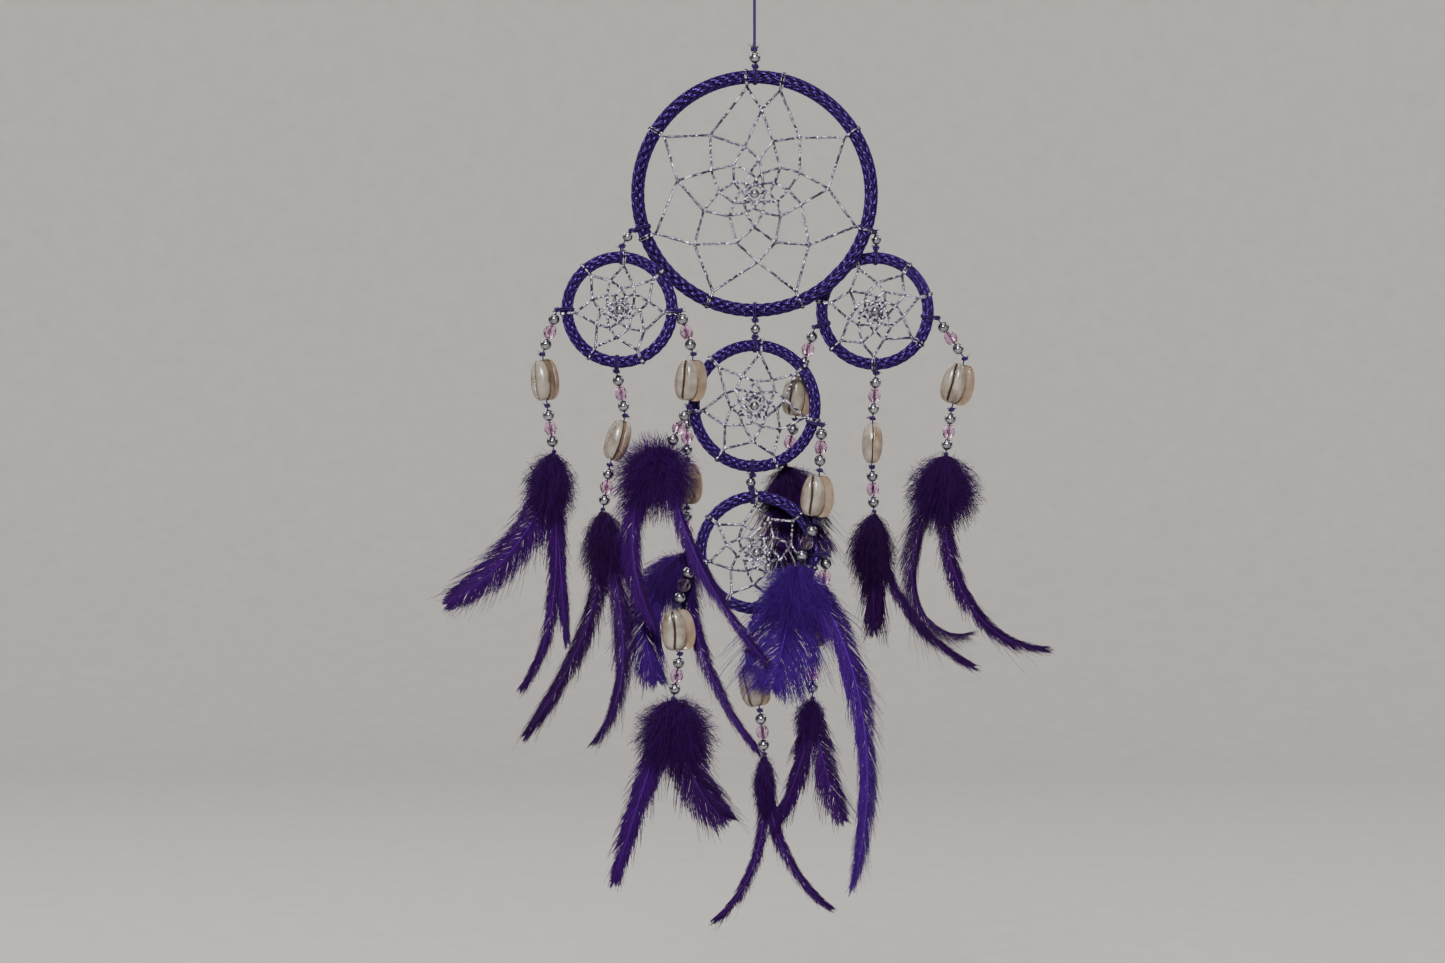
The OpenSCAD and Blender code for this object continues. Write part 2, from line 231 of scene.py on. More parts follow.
class Shape:
    """Collects closed surfaces, in millimetres, and makes them one object. mark is three numbers on
    each point for the materials to read, and each material says what they mean."""

    def __init__(self):
        self.points, self.faces, self.marks, self.count = [], [], [], 0

    def add(self, points, faces, mark=(0, 0, 0)):
        points = np.reshape(points, (-1, 3))
        self.points.append(points)
        self.faces += [f + self.count for f in faces]
        self.marks.append(np.broadcast_to(np.reshape(mark, (-1, 3)), points.shape))
        self.count += len(points)

    def tube(self, line, radius, sides=6, normal=ACROSS, closed=False, mark=(0, 0, 0)):
        """A tube along a line. mark is one value or one for each point of the line."""
        line = np.array(line, float)
        rows = len(line)
        tangent = tangents(line, closed)
        normal = np.broadcast_to(normal, line.shape)
        normal = unit(normal - (normal * tangent).sum(-1, keepdims=True) * tangent)
        other = np.cross(tangent, normal)
        angle = TURN * np.arange(sides)[:, None] / sides
        radius = np.broadcast_to(radius, rows)[:, None, None]
        way = np.cos(angle) * normal[:, None] + np.sin(angle) * other[:, None]
        ring = line[:, None] + radius * way
        faces = [grid_faces(rows, sides, loop_rows=closed)]
        if not closed:
            first = np.arange(sides)
            faces += [first[None, ::-1], first[None] + (rows - 1) * sides]
        mark = np.broadcast_to(mark, line.shape)
        self.add(ring, faces, np.repeat(mark[:, None], sides, axis=1))

    def hairs(self, paths, across, width, mark):
        """Many thin three-sided hairs at once: paths and mark are hairs x points x 3, width is hairs
        x points, and across is the way in which each hair is widest."""
        count, steps = paths.shape[:2]
        tangent = unit(np.gradient(paths, axis=1))
        across = unit(across - (across * tangent).sum(-1, keepdims=True) * tangent)
        up = np.cross(tangent, across)
        width = width[..., None]
        ring = np.stack([paths + width * across, paths - width * across, paths + 0.6 * width * up], 2)
        start = (np.arange(count) * steps * 3)[:, None, None]
        quads = (grid_faces(steps, 3)[None] + start).reshape(-1, 4)
        low = np.array([[2, 1, 0]]) + start[:, 0]
        high = np.array([[0, 1, 2]]) + start[:, 0] + (steps - 1) * 3
        mark = np.repeat(mark[:, :, None], 3, axis=2)
        self.add(ring, [quads[:, ::-1], low[:, ::-1], high[:, ::-1]], mark)

    def turned(self, profile, segments, place, axes):
        """A closed profile of (radius, height) turned about the Z of axes."""
        profile = np.array(profile, float)
        angle = TURN * np.arange(segments) / segments
        ring = np.stack([
            profile[:, :1] * np.cos(angle), profile[:, :1] * np.sin(angle),
            np.repeat(profile[:, 1:], segments, axis=1)], -1)
        faces = grid_faces(len(profile), segments, loop_rows=True)
        self.add(ring.reshape(-1, 3) @ axes + place, [faces])

    def object(self, name, material, body, slot, replaces=(), smooth=True):
        """Makes the object, which rides on a body and stands in for the CAD parts it replaces."""
        points = np.vstack(self.points) * MM
        mesh = bpy.data.meshes.new(name)
        mesh.vertices.add(len(points))
        mesh.vertices.foreach_set("co", points.ravel())
        loops = np.concatenate([f.ravel() for f in self.faces])
        sizes = np.concatenate([np.full(len(f), f.shape[1]) for f in self.faces])
        mesh.loops.add(len(loops))
        mesh.loops.foreach_set("vertex_index", loops.astype(np.int32))
        mesh.polygons.add(len(sizes))
        mesh.polygons.foreach_set("loop_start", (np.cumsum(sizes) - sizes).astype(np.int32))
        mesh.update(calc_edges=True)
        mesh.polygons.foreach_set("use_smooth", np.full(len(sizes), smooth))
        mark = mesh.attributes.new("mark", "FLOAT_VECTOR", "POINT")
        mark.data.foreach_set("vector", np.vstack(self.marks).astype(np.float32).ravel())
        mesh.materials.append(material)
        piece = bpy.data.objects.new(name, mesh)
        bpy.context.scene.collection.objects.link(piece)
        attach(piece, body)
        if replaces:
            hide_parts(*replaces)
        return piece


# ---------------------------------------------------------------- materials

def new_material(name, **settings):
    """A material with its main shader's constants set, a helper that adds nodes to it, and one that
    plugs an output into the shader."""
    made = bpy.data.materials.new(name)
    made.use_nodes = True
    tree = made.node_tree
    shader = tree.nodes["Principled BSDF"]
    for socket, value in settings.items():
        shader.inputs[socket.replace("_", " ")].default_value = value

    def add(kind, sockets=(), **props):
        node = tree.nodes.new("ShaderNode" + kind)
        for key, value in props.items():
            setattr(node, key, value)
        for key, value in dict(sockets).items():
            if hasattr(value, "links"):
                tree.links.new(value, node.inputs[key])
            else:
                node.inputs[key].default_value = value
        return node

    def plug(socket, output):
        tree.links.new(output, shader.inputs[socket])

    return made, add, plug


def ramp(add, fac, *stops):
    """A colour ramp through (position, colour) stops."""
    node = add("ValToRGB", {"Fac": fac})
    elements = node.color_ramp.elements
    for element, (position, colour) in zip(elements, (stops[0], stops[-1])):
        element.position, element.color = position, (*colour, 1)
    for position, colour in stops[1:-1]:
        elements.new(position).color = (*colour, 1)
    return node.outputs["Color"]


def noise(add, scale, detail=2.0, vector=None):
    sockets = {"Scale": scale, "Detail": detail}
    sockets["Vector"] = vector or add("TexCoord").outputs["Object"]
    return add("TexNoise", sockets).outputs["Fac"]


def times(add, a, b):
    return add("Math", {0: a, 1: b}, operation="MULTIPLY").outputs[0]


def plus(add, a, b):
    return add("Math", {0: a, 1: b}, operation="ADD").outputs[0]


def mix_colours(add, fac, a, b, blend="MIX"):
    return add("Mix", {0: fac, 6: a, 7: b}, data_type="RGBA", blend_type=blend).outputs[2]


def bump(add, height, strength, depth):
    return add("Bump", {"Height": height, "Strength": strength, "Distance": depth}).outputs["Normal"]


def mark_vector(add):
    return add("Attribute", attribute_name="mark").outputs["Vector"]


def mark_numbers(add):
    return add("SeparateXYZ", {0: mark_vector(add)}).outputs


FIBRE_DEPTH = 0.0001


def satin(name, low, high, roughness, metallic):
    """Twisted rayon: mark is the distance along the strand, a chance number of the strand, and how far it
    stands out. The colour is darker where a strand stands out less, as painted shade between strands, and the
    streaks vary the tone along it at random."""
    made, add, plug = new_material(
        name, Roughness=roughness, Metallic=metallic, Sheen_Weight=0.03, Sheen_Tint=(0.5, 0.4, 1, 1))
    _, _, height = mark_numbers(add)
    streak = noise(add, 1.6, 3, mark_vector(add))
    # painted shade: strands that stand out less take the dark end of the ramp, raised ones the light end
    streak_and_painted_shade = plus(add, times(add, height, 0.55), times(add, streak, 0.5))
    plug("Base Color", ramp(add, streak_and_painted_shade, (0.4, low), (0.95, high)))
    plug("Normal", bump(add, noise(add, 3500), 0.4, FIBRE_DEPTH))
    return made


satin_cord = satin("satin_cord", (0.0006, 0.0001, 0.0025), (0.058, 0.011, 0.2), 0.24, 0.7)
satin_thread = satin("satin_thread", (0.003, 0.0004, 0.01), (0.06, 0.013, 0.19), 0.36, 0.4)


def metal_thread():
    """Metallized thread: its mark is as satin has it, and its noise paints the colour in patches from near
    black to near white, as painted shade and painted glints.
    """
    made, add, plug = new_material("metal_thread", Roughness=0.24, Metallic=0.9)
    # painted shade and painted glints: near-black and near-white patches along the thread
    plug("Base Color", ramp(
        add, noise(add, 1.5, 2, mark_vector(add)),
        (0.4, (0.015, 0.01, 0.03)), (0.5, (0.16, 0.14, 0.22)), (0.6, (0.95, 0.9, 1))))
    plug("Normal", bump(add, noise(add, 5000), 0.2, FIBRE_DEPTH))
    return made


def clouded_metal(name, scale, low, high, fine_scale, least_roughness):
    """Bare metal with a cloudy colour and a finer unevenness of gloss."""
    made, add, plug = new_material(name, Metallic=1.0)
    plug("Base Color", ramp(add, noise(add, scale, 4), (0.3, low), (0.7, high)))
    plug("Roughness", plus(add, times(add, noise(add, fine_scale, 3), 0.2), least_roughness))
    return made


def pink_crystal():
    made, add, plug = new_material("pink_crystal", Roughness=0.04, IOR=1.49, Transmission_Weight=1.0)
    plug("Base Color", ramp(add, noise(add, 260), (0.3, (0.72, 0.42, 0.66)), (0.75, (0.9, 0.66, 0.85))))
    return made


def cowrie_shell():
    """mark is nearness to the slit, which is painted near black as shade in the slit, nearness to the rim, and
    a chance number that isn't read.
    """
    made, add, plug = new_material("cowrie_shell", Roughness=0.28, Coat_Weight=0.5, Coat_Roughness=0.12)
    slit, rim, _ = mark_numbers(add)
    ivory = ramp(
        add, noise(add, 180, 4),
        (0.3, (0.12, 0.092, 0.068)), (0.5, (0.24, 0.205, 0.165)), (0.75, (0.38, 0.345, 0.3)))
    at_rim = add("Math", {0: rim, 1: 3.0}, operation="POWER").outputs[0]
    blush = mix_colours(add, times(add, at_rim, noise(add, 90)), ivory, (0.22, 0.1, 0.035, 1))
    # painted shade: near black in the slit
    plug("Base Color", mix_colours(add, slit, blush, (0.035, 0.018, 0.012, 1)))
    plug("Normal", bump(add, noise(add, 900, 3), 0.08, 0.0002))
    return made


def dyed_feather():
    """mark is the share along the barb, a chance number of the barb, and the tone of the feather. Hairs are
    painted darker near the shaft and lighter at the tips, as painted shade in the mass and painted light at
    its edges, and the chance number varies their tone at random.
    """
    made, add, plug = new_material(
        "dyed_feather", Roughness=0.4, Specular_IOR_Level=0.12,
        Sheen_Weight=0.02, Sheen_Roughness=0.3, Sheen_Tint=(0.45, 0.3, 1, 1))
    along, chance, tone = mark_numbers(add)
    dye = ramp(
        add, tone, (0.0, (0.014, 0.0002, 0.026)), (0.4, (0.032, 0.0006, 0.08)), (1.0, (0.042, 0.003, 0.16)))
    # painted light and shade: lighter towards the tips, darker near the shaft; the chance part is random tone
    tone_and_painted_light = times(add, plus(add, times(add, chance, 0.9), 0.55), plus(add, times(add, along, 0.5), 0.8))
    grey = add("CombineXYZ", {0: tone_and_painted_light, 1: tone_and_painted_light, 2: tone_and_painted_light}).outputs[0]
    plug("Base Color", mix_colours(add, 1.0, dye, grey, "MULTIPLY"))
    return made


web_metal, crystal, cowrie, plume = metal_thread(), pink_crystal(), cowrie_shell(), dyed_feather()
silver = clouded_metal("silver_coat", 320, (0.2, 0.195, 0.21), (0.42, 0.42, 0.46), 700, 0.12)
steel = clouded_metal("brushed_steel", 400, (0.4, 0.4, 0.42), (0.6, 0.6, 0.62), 900, 0.25)


# ---------------------------------------------------------------- cords

# Distance between the points of a line: the hanging cord, threads, nets, and turns round hoops.
HANG_STEP, THREAD_STEP, NET_STEP, TIE_STEP = 0.3, 0.25, 0.17, 0.2
# Length of one turn of the twist: the hanging cord, threads, nets, and turns round hoops.
HANG_PITCH, THREAD_PITCH, NET_PITCH, TIE_PITCH = 3.2, 1.6, 2, 1.25
PLY_CHANCE = 3.0  # how far apart the chance numbers of a cord's plies are
KNOT_PAINTED_LIGHT = 0.75  # how far knots and ties stand out, for the mark: satin paints them lighter, as painted light on raised thread


def strand_mark(at, chance, height):
    """The mark that satin and metal_thread read, for each point of a strand."""
    return np.column_stack(np.broadcast_arrays(at, chance, height))


def cable(shape, line, plies, radius, pitch, closed=False, sides=5, share=0.5):
    """A twisted cord: each ply is a tube of a share of its radius."""
    ply_r = radius * share
    at = run_so_far(line)
    for k, (ply, out) in enumerate(strands(line, plies, radius - ply_r, pitch, closed)):
        shape.tube(ply, ply_r, sides, out, closed, mark=strand_mark(at, PLY_CHANCE * k, 0.8))


loop_angles = np.radians(np.linspace(235, -55, 59))
LOOP_MID = LOOP_R + CORD_R
hanging_route = np.array(
    [(0, 0, TOP_KNOT[2] + KNOT_R + GAP), (0, 0, -19.5), (-0.5, 0, -16.8), (-2.2, 0, -14.8)]
    + [(LOOP_MID * math.cos(a), 0, -LOOP_R + LOOP_MID * math.sin(a)) for a in loop_angles]
    + [(2.2, 0, -14.8), (0.6, 0, -16.6)])
hanging_line = soften(resample(hanging_route, HANG_STEP), 3)
shape = Shape()
cable(shape, hanging_line, 3, CORD_R, HANG_PITCH, sides=7)
hanging_cord = shape.object("hanging_cord_twist", satin_thread, "hanger", "purple_cord", ["hanging_cord"])

thread_lines, thread_pieces = {}, {}
for name, (plane, _, knots) in THREADS.items():
    route = [(x, plane, z) for x, z in knots]
    thread_lines[name] = soften(resample(route, THREAD_STEP), 5)
    shape = Shape()
    cable(shape, thread_lines[name], 2, THREAD_R, THREAD_PITCH)
    thread_pieces[name] = shape.object(name + "_twist", satin_thread, name, "purple_cord", [name + "_thread"])


# ---------------------------------------------------------------- knots and loops

TAIL_HAIRS, TAIL_HAIR_R = 4, 0.16


def two_ply(shape, line, radius, pitch, chance):
    """A two-ply thread along any open line."""
    at = run_so_far(line)
    normal = carried(line)
    other = np.cross(tangents(line), normal)
    for k in range(2):
        angle = (TURN * (at / pitch + k / 2))[:, None]
        way = np.cos(angle) * normal + np.sin(angle) * other
        mark = strand_mark(at, PLY_CHANCE * k + chance, KNOT_PAINTED_LIGHT)
        shape.tube(line + 0.48 * radius * way, 0.55 * radius, 5, way, mark=mark)


def knot(shape, place, size, rng, tails=2, tail_len=2.2):
    """A small overhand knot, drawn as a trefoil, with short frayed tails."""
    t = np.linspace(0, TURN, 110)
    trefoil = np.column_stack([
        np.sin(t) + 2 * np.sin(2 * t), np.cos(t) - 2 * np.cos(2 * t), -1.3 * np.sin(3 * t)])
    line = trefoil * size * 0.36
    spin = rng.uniform(0, TURN)
    turn = np.array([[math.cos(spin), math.sin(spin), 0], [-math.sin(spin), math.cos(spin), 0], [0, 0, 1]])
    line = line @ turn + place
    two_ply(shape, line, size * 0.45, 1.7 * size, rng.uniform(0, 9))
    s = np.linspace(0, 1, 7)[:, None]
    for _ in range(tails):
        aside = rng.choice((-1, 1)) * rng.uniform(0.5, 1)
        way = unit(np.array([aside, rng.uniform(-0.8, 0.2), rng.uniform(-0.3, 0.7)]))
        for _ in range(TAIL_HAIRS):
            spread = way + rng.normal(0, 0.28, 3)
            run = s * tail_len * rng.uniform(0.7, 1.1)
            shake = rng.normal(0, 0.06, (len(s), 3)) * s
            hair = place + run * (way * (1 - s) + spread * s) + shake
            hair_r = TAIL_HAIR_R * (1 - 0.5 * s[:, 0])
            shape.tube(hair, hair_r, 4, carried(hair), mark=(0, rng.uniform(0, 9), 0.5))


def spoke(centre, angle, reach):
    """The point at an angle and a reach from a centre, in the plane that the hoops hang in."""
    return np.array([centre[0] + reach * math.cos(angle), centre[1], centre[2] + reach * math.sin(angle)])


def hoop_point(hoop, angle, out=0.0):
    """A point on the middle of a hoop's tube, or that far out from it, at an angle."""
    centre, ring_r = HOOPS[hoop][:2]
    return spoke(centre, angle, ring_r + out)


def angle_to(hoop, point):
    centre = HOOPS[hoop][0]
    return math.atan2(point[2] - centre[2], point[0] - centre[0])


def ring_round(hoop, angle, radius, slant=0.0, knot_at=None):
    """A closed line round a hoop's tube at an angle, slanted along the hoop and drawn out to a knot,
    with the way along the hoop there."""
    count = 80
    t = TURN * np.arange(count) / count
    along = np.array([-math.sin(angle), 0, math.cos(angle)])
    out = np.array([math.cos(angle), 0, math.sin(angle)])
    radius = np.full(count, radius)
    if knot_at is not None:
        way = knot_at - hoop_point(hoop, angle)
        way = way - way.dot(along) * along
        far = max(0, np.linalg.norm(way) - radius[0] - 0.3)
        radius += far * np.clip(np.cos(t - math.atan2(way[1], way.dot(out))), 0, 1) ** 10
    circle = np.cos(t)[:, None] * out + np.sin(t)[:, None] * ACROSS
    line = hoop_point(hoop, angle) + radius[:, None] * circle
    return line + (slant * np.sin(t))[:, None] * along, along


def ring_of_thread(shape, line, along, offset, radius, chance=0.0, height=0.0):
    """A closed ring of two-ply thread along a line, which crosses the way along."""
    line = resample(line, TIE_STEP, closed=True)
    count = len(line)
    out = unit(np.cross(tangents(line, True), along))
    at = np.arange(count) * TIE_STEP
    turns = max(1, round(at[-1] / TIE_PITCH))
    for k in range(2):
        angle = (TURN * (turns * np.arange(count) / count + k / 2))[:, None]
        way = np.cos(angle) * along + np.sin(angle) * out
        mark = strand_mark(at, PLY_CHANCE * k + chance, height)
        shape.tube(line + offset * way, radius, 4, way, closed=True, mark=mark)


def tie_round(shape, hoop, point, rng):
    """Two turns of purple thread round a hoop's tube, next to a knot."""
    for shift in (-0.42, 0.42):
        angle = angle_to(hoop, point) + shift / HOOPS[hoop][1]
        line, along = ring_round(hoop, angle, HOOPS[hoop][2] + 0.25, 0.3, np.array(point, float))
        ring_of_thread(shape, line, along, 0.22, 0.24, rng.uniform(0, 9), KNOT_PAINTED_LIGHT)


# ---------------------------------------------------------------- hoops

CARRIERS, FILAMENTS = 12, 2
FILAMENT_R, FILAMENT_PITCH = 0.29, 0.56
BRAID_RISE, BRAID_STEP = 0.32, 0.5
BRAID_SLANT = 0.36  # run round the tube for each run along it


def braid(hoop):
    """The satin sleeve of a hoop: two sets of paired strands that pass over two and under two, and a plain
    core that closes the gaps between them. Strands that pass under are painted darker, and the core is painted
    near black, as painted shade between the strands."""
    centre, ring_r, tube_r = HOOPS[hoop][:3]
    turns = round(BRAID_SLANT * ring_r / tube_r)
    steps = round(TURN * ring_r / BRAID_STEP)
    p = TURN * np.arange(steps) / steps
    around_ring = np.column_stack([np.cos(p), 0 * p, np.sin(p)])
    rng = np.random.default_rng(len(hoop) * 7 + round(ring_r))
    for way, label in ((1, "left"), (-1, "right")):
        shape = Shape()
        for i in range(CARRIERS):
            crossing = CARRIERS * (TURN * i / CARRIERS + 2 * way * turns * p) / TURN
            height = way * np.cos(math.pi / 2 * (crossing + i - 0.5))
            r = tube_r - FILAMENT_R - BRAID_RISE + BRAID_RISE * height
            for k in range(FILAMENTS):
                aside = (k - (FILAMENTS - 1) / 2) * FILAMENT_PITCH / tube_r
                a = TURN * i / CARRIERS + way * turns * p + aside
                out = np.cos(a)[:, None] * around_ring + np.sin(a)[:, None] * ACROSS
                line = centre + ring_r * around_ring + r[:, None] * out
                # the mark's height paints strands that pass under darker: painted shade between the strands
                mark = strand_mark(p * ring_r, rng.uniform(0, 9), 0.5 + 0.5 * height)
                shape.tube(line, FILAMENT_R, 4, out, closed=True, mark=mark)
        shape.object(f"{hoop}_braid_{label}", satin_cord, hoop, "purple_cord", [hoop + "_wrap"])
    # the core's empty mark takes the dark end of satin's ramp: painted shade in the gaps between strands
    core = Shape()
    line = centre + ring_r * around_ring[::4]
    core.tube(line, tube_r - 2 * FILAMENT_R - BRAID_RISE, 14, closed=True)
    core.object(hoop + "_braid_core", satin_thread, hoop, "purple_cord", [hoop + "_wrap"])


WANDER_ANGLE, WANDER_SHARE = 3.5, 0.06  # how uneven the net's points are


def web_angle(angles, row, i):
    """The angle of point i of a row: halfway between two points of the row outside it."""
    if row == 0:
        return angles[i % len(angles)] + 360 * (i // len(angles))
    return (web_angle(angles, row - 1, i) + web_angle(angles, row - 1, i + 1)) / 2


def net_thread(shape, route, reach):
    """A closed run of the net's thread along a route, with its corners rounded."""
    line = soften(resample(route, NET_STEP, closed=True), reach, closed=True)
    cable(shape, line, 2, WEB_CABLE_R, NET_PITCH, closed=True, sides=6, share=0.56)


def web(hoop):
    """Rows of twisted metallic thread, each hitched to the middle of the loops of the row outside it,
    and the ties that hold the outermost row to the hoop."""
    centre, ring_r, tube_r, angles, rows = HOOPS[hoop]
    rng = np.random.default_rng(round(ring_r * 10))
    inner = ring_r - tube_r - WEB_R - GAP
    count = len(angles)

    def point(row, i):
        chance = np.random.default_rng(1000 * row + i % count + round(ring_r * 10))
        wander = 0 if row == 0 else 1
        angle = math.radians(web_angle(angles, row, i) + wander * chance.normal(0, WANDER_ANGLE))
        reach = inner * rows[row] * (1 + wander * chance.normal(0, WANDER_SHARE))
        return spoke(centre, angle, reach)

    shape = Shape()
    for row in range(len(rows) - 1):
        route = []
        for i in range(count):
            route += [point(row, i) - (0, 0.25, 0), point(row + 1, i) + (0, 0.25, 0)]
        net_thread(shape, route, 3)
        for i in range(count):  # the hitch on the row outside
            hitch(shape, point(row + 1, i), unit(centre - point(row + 1, i)), rng)
    net_thread(shape, [point(len(rows) - 1, i) for i in range(count)], 4)
    half = np.array([inner * rows[-1], 0, 0])
    cable(shape, resample([centre - half, centre + half], 0.2), 2, 0.4, 1.3, sides=4)  # carries the bead
    shape.object(hoop + "_net", web_metal, hoop, "web_thread", [hoop + "_web"])

    shape = Shape()
    for angle in np.radians(angles):
        for shift in (-0.3, 0.35):
            line, along = ring_round(hoop, angle + shift / ring_r, tube_r + 0.2, rng.uniform(-0.5, 0.5))
            ring_of_thread(shape, line, along, 0.25, 0.26)
        inward = unit(centre - hoop_point(hoop, angle))
        hitch(shape, hoop_point(hoop, angle, -tube_r - 0.9), inward, rng)
    shape.object(hoop + "_net_ties", web_metal, hoop, "web_thread")


def hitch(shape, place, inward, rng):
    """A turn and a half of the thread round itself."""
    count, radius, half = 26, 0.62, 0.45
    t = np.linspace(0, 1.6 * TURN, count)
    side = np.cross(inward, ACROSS)
    line = (place + radius * (np.cos(t)[:, None] * side + np.sin(t)[:, None] * ACROSS)
            + np.linspace(-half, half, count)[:, None] * inward)
    shape.tube(line, 0.27, 5, inward, mark=strand_mark(t, rng.uniform(0, 9), 0))


def axes_along(p, q):
    """Rows of the axes that the part's beads have on a thread from p to q: local X, Y and Z."""
    d = unit(np.array(q, float) - p)
    tilt, spin = math.acos(d[2]), math.atan2(d[1], d[0])
    x = (math.cos(tilt) * math.cos(spin), math.cos(tilt) * math.sin(spin), -math.sin(tilt))
    return np.array([x, (-math.sin(spin), math.cos(spin), 0), d])


def silver_bead(shape, radius, place, axes):
    """A round bead: the outside from one hole to the other, and back through the bore."""
    lip_width, lip_depth = 0.15, 0.12
    start = math.asin((BORE_R + lip_width) / radius)
    a = np.linspace(start, math.pi - start, 16)
    outside = np.column_stack([radius * np.sin(a), -radius * np.cos(a)])
    lip = radius * math.cos(start)
    profile = np.vstack([outside, [(BORE_R, lip - lip_depth)], [(BORE_R, -lip + lip_depth)]])
    shape.turned(profile, 30, place, axes)


for hoop in HOOPS:
    braid(hoop)
    web(hoop)
    shape = Shape()
    silver_bead(shape, WEB_BEAD_R, HOOPS[hoop][0], np.array([(0, 1, 0), (0, 0, 1), (1, 0, 0)]))
    shape.object(hoop + "_middle_bead", silver, hoop, "silver_bead", [hoop + "_web_bead"])
    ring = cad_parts[hoop + "_core"]
    ring.data.materials.clear()
    ring.data.materials.append(steel)


# ---------------------------------------------------------------- top and links

LOOP_KNOT_Z, LINK_KNOT = -16.3, 1.3
rng = np.random.default_rng(5)
shape = Shape()
knot(shape, np.array((0, 0, LOOP_KNOT_Z)), 1.9, rng, 1, 4)
hanging_knot = shape.object("hanging_loop_knot", satin_thread, "hanger", "purple_cord")

shape = Shape()
knot(shape, np.array(TOP_KNOT), LINK_KNOT, rng, 2, 3)
knot(shape, np.array(TOP_TIE), LINK_KNOT, rng, 1, 2)
cable(shape, resample([TOP_KNOT, TOP_TIE], THREAD_STEP), 2, THREAD_R, THREAD_PITCH)
shape.object("top_knots", satin_thread, "top_link", "purple_cord", ["top_tie"])
shape = Shape()
bead_at = (np.array(TOP_KNOT) + TOP_TIE) / 2
silver_bead(shape, SILVER_R, bead_at, axes_along(TOP_KNOT, TOP_TIE))
shape.object("top_silver_bead", silver, "top_link", "silver_bead", ["top_bead"])
shape = Shape()
tie_round(shape, "main_hoop", TOP_TIE, rng)
shape.object("main_hoop_top_loop", satin_thread, "main_hoop", "purple_cord")

for name, (body, above, upper, bead, lower) in LINKS.items():
    rng = np.random.default_rng(len(name) + round(-bead[2]))
    shape = Shape()
    knot(shape, np.array(upper), LINK_KNOT, rng, 2)
    knot(shape, np.array(lower), LINK_KNOT, rng, 1)
    cable(shape, resample([upper, bead, lower], THREAD_STEP), 2, THREAD_R, THREAD_PITCH)
    tie_round(shape, body, lower, rng)
    shape.object(name + "_knots", satin_thread, body, "purple_cord", [name])
    shape = Shape()
    silver_bead(shape, LINK_BEAD_R, np.array(bead), axes_along(upper, lower))
    shape.object(name + "_bead", silver, body, "silver_bead", [name])
    shape = Shape()
    tie_round(shape, above, upper, rng)
    shape.object(name + "_loop", satin_thread, above, "purple_cord")


# ---------------------------------------------------------------- beads and shells

def crystal_bead(shape, place, axes):
    """A faceted barrel with a bore: five rings of eight points, every second ring turned by half a
    facet, and then the two ends of the bore."""
    end = CRYSTAL_LEN / 2
    rings = ((-end, 1.7, 0), (-1.75, 2.65, 0.5), (0, CRYSTAL_R, 0), (1.75, 2.65, 0.5), (end, 1.7, 0))
    sides = 8
    points, faces = [], []
    for z, r, shift in rings:
        a = TURN * (np.arange(sides) + shift) / sides
        points.append(np.column_stack([r * np.cos(a), r * np.sin(a), np.full(sides, z)]))
    j = np.arange(sides)
    right = (j + 1) % sides
    for i in range(len(rings) - 1):
        low, high = i * sides, (i + 1) * sides
        if rings[i][2] == 0:
            faces += [np.column_stack([low + j, low + right, high + j]),
                      np.column_stack([low + right, high + right, high + j])]
        else:
            faces += [np.column_stack([low + j, high + right, high + j]),
                      np.column_stack([low + j, low + right, high + right])]
    a = TURN * j / sides
    bore = BORE_R + 0.15
    for z in (end, -end):
        points.append(np.column_stack([bore * np.cos(a), bore * np.sin(a), np.full(sides, z)]))
    top = (len(rings) - 1) * sides
    bore_top, bore_low = top + sides, top + 2 * sides
    for one, two in ((top, bore_top), (bore_top, bore_low), (bore_low, 0)):
        faces.append(np.column_stack([one + j, one + right, two + right, two + j]))
    shape.add(np.vstack(points) @ axes + place, faces)


